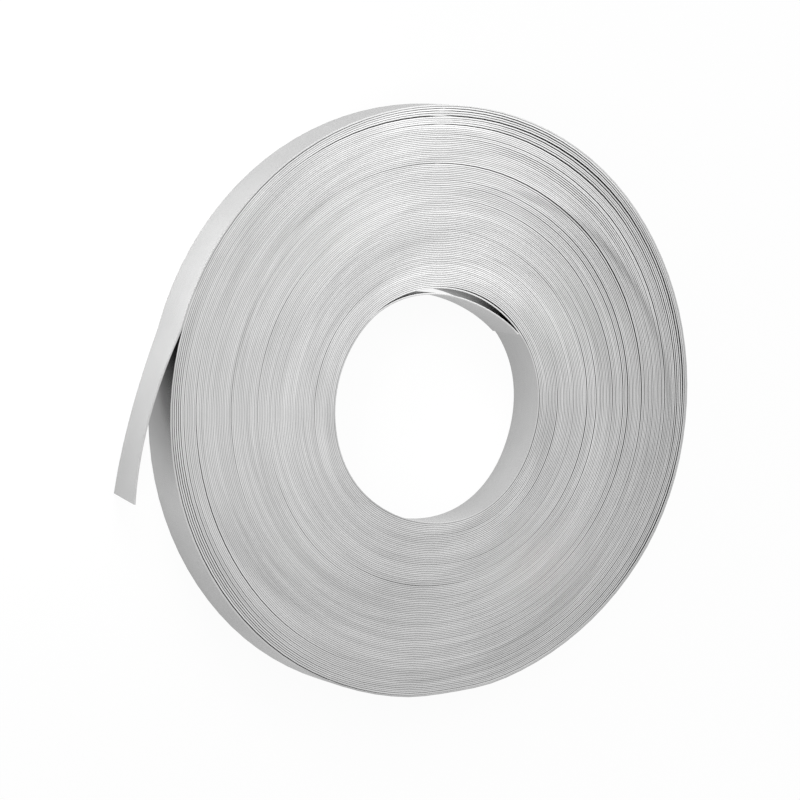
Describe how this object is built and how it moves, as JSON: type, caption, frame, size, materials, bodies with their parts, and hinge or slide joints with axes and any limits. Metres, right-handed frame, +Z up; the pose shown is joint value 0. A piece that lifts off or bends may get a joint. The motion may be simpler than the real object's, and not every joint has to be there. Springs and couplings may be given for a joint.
{
  "type": "steel coil",
  "caption": "Flat round coil of narrow bright steel strip lying on its end, with an open eye, a sprung outer end and a loose inner lap, to be unwound as stock.",
  "frame": {"origin": "middle of the coil's eye, half way across the strip's width", "axes": "+Z up along the coil's axis, from its back end on the floor to its front end, with the outer end of the strip sprung open towards -X and the loose inner lap on the +Y side of the eye"},
  "size_m": [0.2565, 0.241, 0.02],
  "materials": {
    "strip_steel": "bright rolled strip with slit edges, faintly smudged"
  },
  "bodies": {
    "root": {"strip_coil": "strip_steel"}
  },
  "joints": []
}
